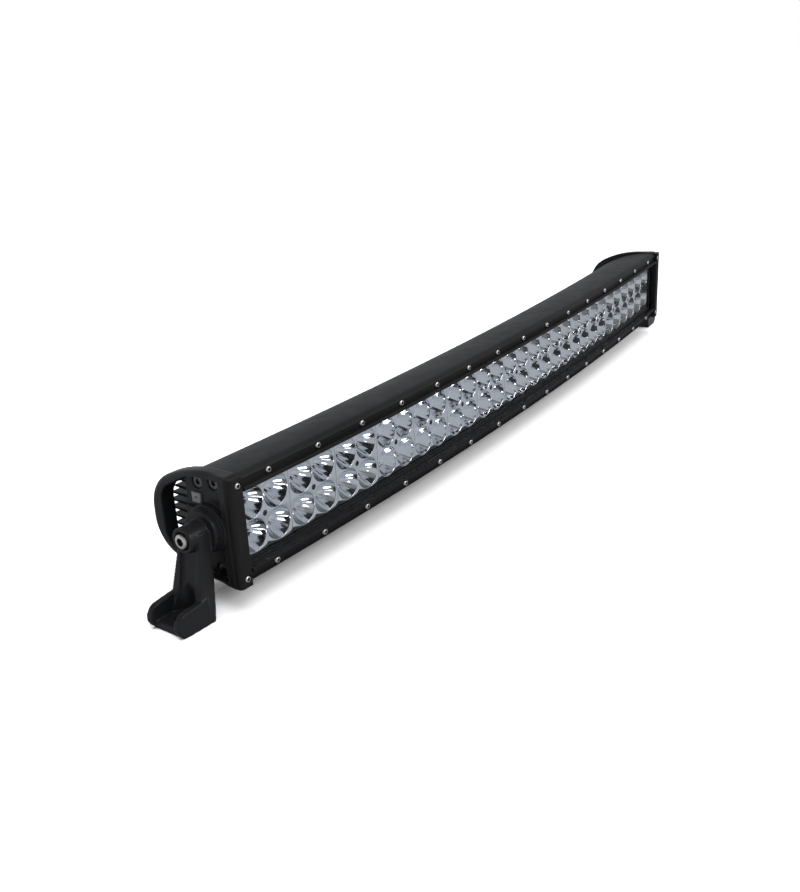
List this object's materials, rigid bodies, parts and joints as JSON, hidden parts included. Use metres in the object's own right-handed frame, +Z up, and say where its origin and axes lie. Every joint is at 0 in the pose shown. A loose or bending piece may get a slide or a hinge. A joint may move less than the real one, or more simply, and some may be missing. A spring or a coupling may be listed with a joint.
{
  "type": "led light bar",
  "caption": "Curved double-row LED light bar with finned aluminium housing, cast end caps and two pivoting mounting feet.",
  "frame": {"origin": "on the ground between the two feet, at the middle of the part's box", "axes": "+X along the bar to the right end seen from the front, -Y out of the lens, +Z up"},
  "size_m": [0.8964, 0.0994, 0.1028],
  "materials": {
    "housing_coat": "satin black powder coat on extruded aluminium",
    "black_cast": "satin black coat on die-cast aluminium",
    "black_trim": "semi-gloss black",
    "clear_lens": "clear polycarbonate",
    "black_rubber": "matt",
    "stainless": "bright stainless steel",
    "dark_screw": "dark zinc",
    "led_yellow": "phosphor dome",
    "wire_red": "insulated wire",
    "wire_black": "insulated wire",
    "green_board": "circuit board",
    "white_board": "white solder mask",
    "black_nylon": "moulded nylon",
    "reflector_silver": "vacuum-metallised plastic",
    "grey_pad": "pale grey membrane"
  },
  "bodies": {
    "light_bar": {"housing": "housing_coat", "lens": "clear_lens", "lens_gasket": "black_rubber", "top_lens_strip": "black_trim", "bottom_lens_strip": "black_trim", "top_strip_screws": "stainless", "bottom_strip_screws": "stainless", "led_emitters": "led_yellow", "reflector_screws": "dark_screw", "board_jumpers": "wire_red", "driver_board_left": "green_board", "driver_board_right": "green_board", "supply_leads": "wire_black", "gland_body": "black_nylon", "gland_seal": "black_rubber", "gland_nut": "black_nylon", "breather_plug": "black_nylon", "reflector_1": "reflector_silver", "reflector_2": "reflector_silver", "reflector_3": "reflector_silver", "reflector_4": "reflector_silver", "reflector_5": "reflector_silver", "reflector_6": "reflector_silver", "reflector_7": "reflector_silver", "reflector_8": "reflector_silver", "reflector_9": "reflector_silver", "reflector_10": "reflector_silver", "reflector_11": "reflector_silver", "reflector_12": "reflector_silver", "reflector_13": "reflector_silver", "reflector_14": "reflector_silver", "reflector_15": "reflector_silver", "led_board_1": "white_board", "led_board_2": "white_board", "led_board_3": "white_board", "led_board_4": "white_board", "led_board_5": "white_board", "end_cap_left": "black_cast", "end_cap_right": "black_cast", "cap_gasket_left": "black_rubber", "cap_gasket_right": "black_rubber", "end_bezel_left": "black_trim", "end_bezel_right": "black_trim", "cap_screws_left": "dark_screw", "cap_screws_right": "dark_screw", "bezel_screws_left": "stainless", "bezel_screws_right": "stainless", "vent_pad_left": "grey_pad", "vent_pad_right": "grey_pad", "friction_washer_left": "black_rubber", "friction_washer_right": "black_rubber", "flat_washer_left": "stainless", "flat_washer_right": "stainless", "spring_washer_left": "stainless", "spring_washer_right": "stainless", "pivot_bolt_left": "stainless", "pivot_bolt_right": "stainless"},
    "left_foot": {"bracket_left": "black_cast"},
    "right_foot": {"bracket_right": "black_cast"}
  },
  "joints": [
    {"name": "left_foot_pivot", "type": "hinge", "parent": "light_bar", "child": "left_foot", "pos_m": [-0.41359, -0.0063, 0.0615], "axis": [-0.9974, 0.0723, 0], "continuous": true},
    {"name": "right_foot_pivot", "type": "hinge", "parent": "light_bar", "child": "right_foot", "pos_m": [0.41359, -0.0063, 0.0615], "axis": [0.9974, 0.0723, 0], "continuous": true}
  ]
}
